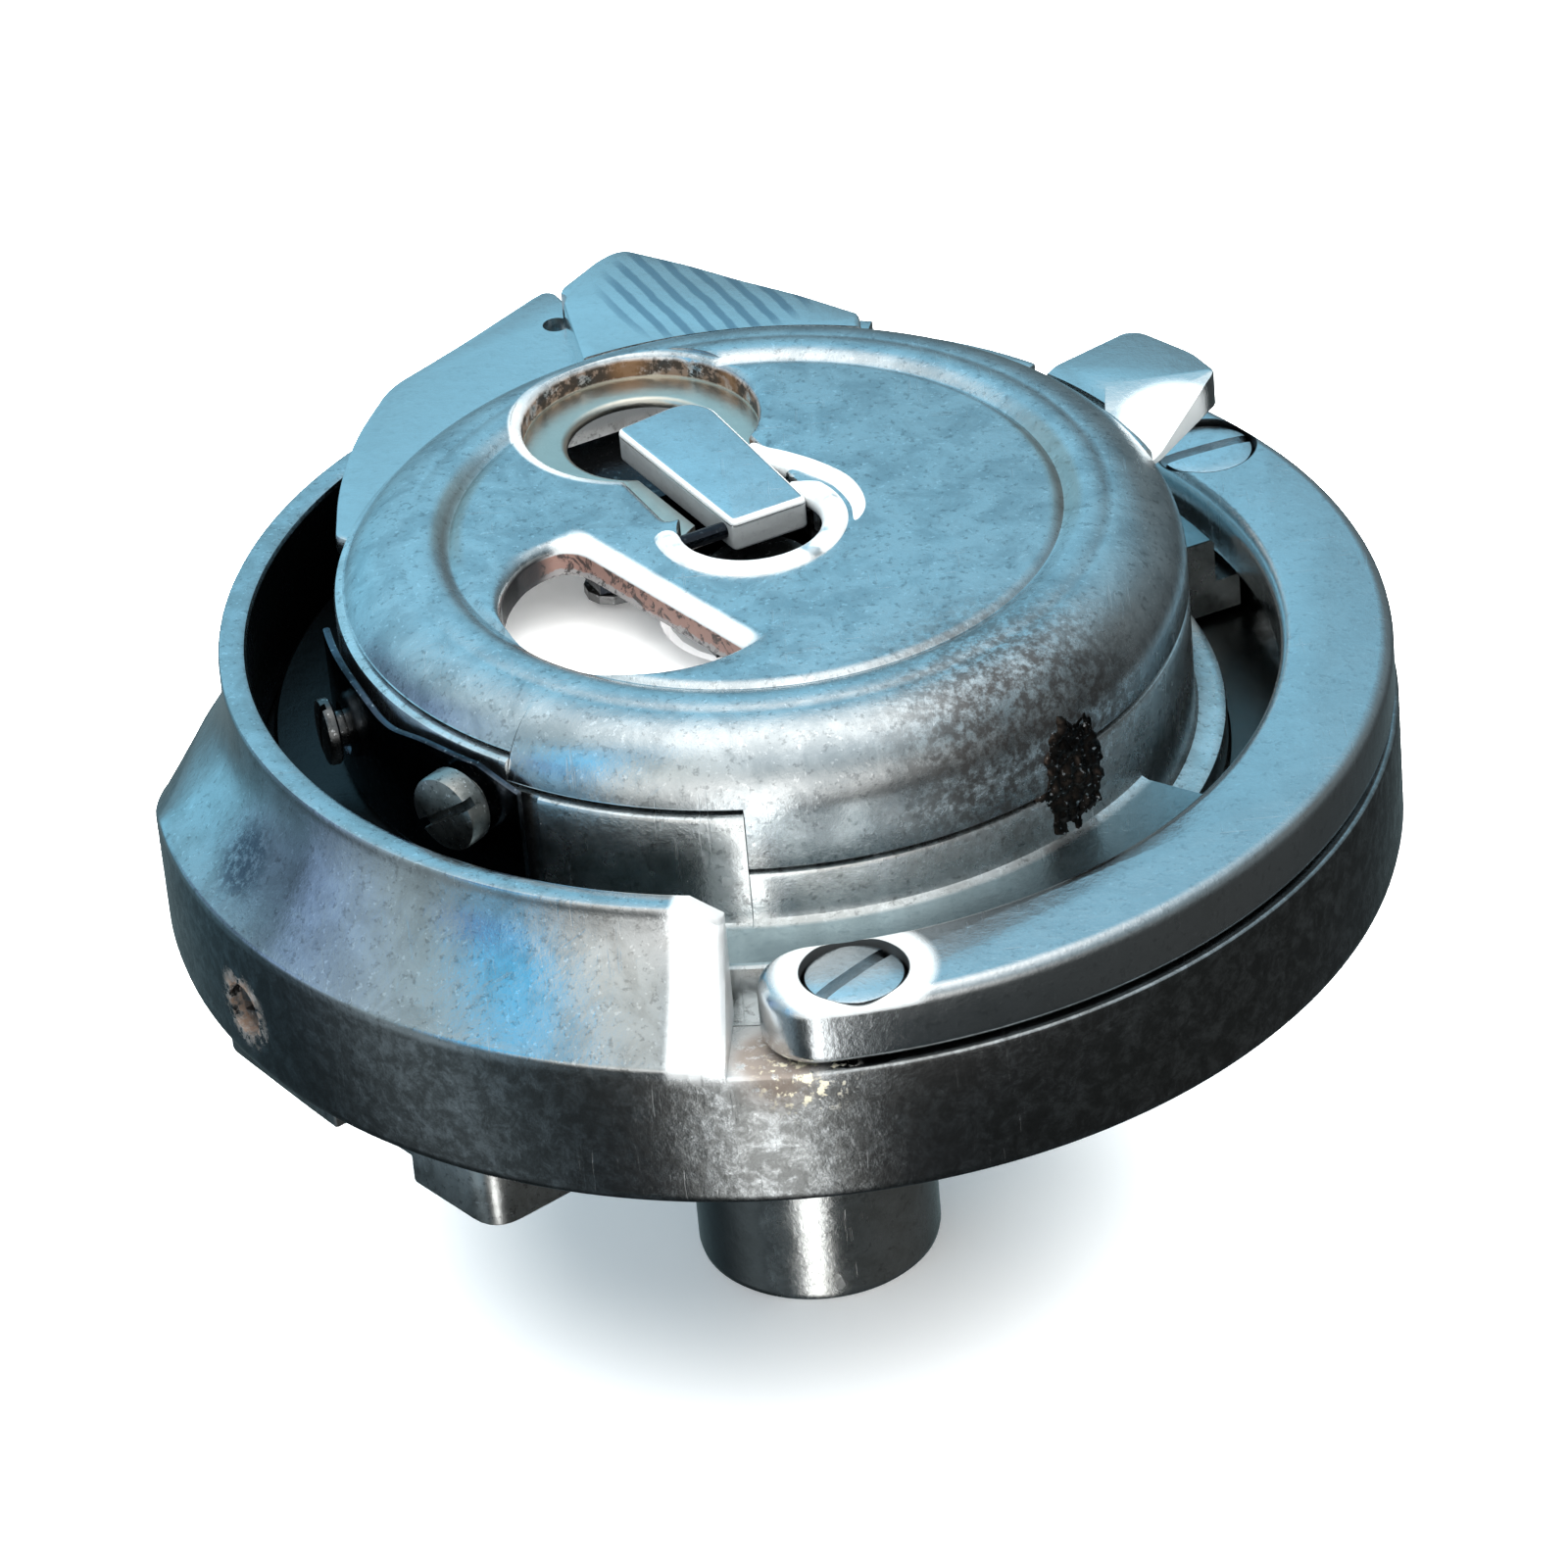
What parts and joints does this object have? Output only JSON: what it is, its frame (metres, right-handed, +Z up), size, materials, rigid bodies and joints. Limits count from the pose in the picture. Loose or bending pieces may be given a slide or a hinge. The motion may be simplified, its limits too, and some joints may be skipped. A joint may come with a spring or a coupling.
{
  "type": "rotary sewing hook with bobbin case",
  "caption": "Vertical-axis rotary sewing hook holding a stationary bobbin case with a latched cap, tension leaf and bobbin, on a solid drive shaft with a cross bar.",
  "frame": {"origin": "centre of the lower end face of the drive shaft", "axes": "+Z up the shaft through the hook and the cap; the bright screwed end of the gib is at -Y, and the positioning notch of the case is at +Y, a little towards -X"},
  "size_m": [0.0444, 0.0444, 0.0314],
  "materials": {
    "steel": "ground and polished, with fine scratches and an oily film",
    "dark_steel": "darkened, oily and worn",
    "spring_steel": "blued spring steel",
    "bobbin_metal": "bright satin"
  },
  "bodies": {
    "hook": {"hook_body": "steel", "hook_carrier": "dark_steel", "hook_shaft": "steel", "hook_gib": "steel", "gib_screw_front": "steel", "gib_screw_back": "steel", "hook_plug_screw": "dark_steel"},
    "case": {"case_base": "dark_steel", "centre_post": "steel", "bobbin_brake_spring": "spring_steel", "tension_spring": "spring_steel", "spring_fixing_screw": "steel"},
    "tension_adjuster": {"tension_screw": "steel"},
    "bobbin": {"bobbin_core": "bobbin_metal", "bobbin_flange_lower": "bobbin_metal", "bobbin_flange_upper": "bobbin_metal"},
    "cap": {"cap_shell": "steel", "latch_pin": "steel", "slide_keeper": "dark_steel", "keeper_rivet_1": "steel", "keeper_rivet_2": "steel", "latch_spring": "spring_steel"},
    "lever": {"latch_lever": "steel"},
    "slide": {"latch_slide": "spring_steel"}
  },
  "joints": [
    {"name": "case_turn", "type": "hinge", "parent": "hook", "child": "case", "pos_m": [0, 0, 0], "axis": [0, 0, 1], "continuous": true},
    {"name": "bobbin_turn", "type": "hinge", "parent": "case", "child": "bobbin", "pos_m": [0, 0, 0.024], "axis": [0, 0, 1], "continuous": true},
    {"name": "cap_lift", "type": "slide", "parent": "case", "child": "cap", "axis": [0, 0, 1], "range_m": [0, 0.012]},
    {"name": "latch_lever_turn", "type": "hinge", "parent": "cap", "child": "lever", "pos_m": [-0.00027, 0.00059, 0.03065], "axis": [0.9107, 0.4131, 0], "range_deg": [0, 80]},
    {"name": "latch_slide_travel", "type": "slide", "parent": "cap", "child": "slide", "axis": [0.4131, -0.9107, 0], "range_m": [0, 0.00099], "stiffness_N_per_m": 10, "springref_m": -0.001},
    {"name": "tension_screw_turn", "type": "hinge", "parent": "case", "child": "tension_adjuster", "pos_m": [-0.01087, -0.01154, 0.028], "axis": [-0.6858, -0.7278, 0], "range_deg": [-180, 180]}
  ],
  "couplings": [
    {"joint": "latch_lever_turn", "follows": "latch_slide_travel", "rad_per_m": 1400}
  ]
}
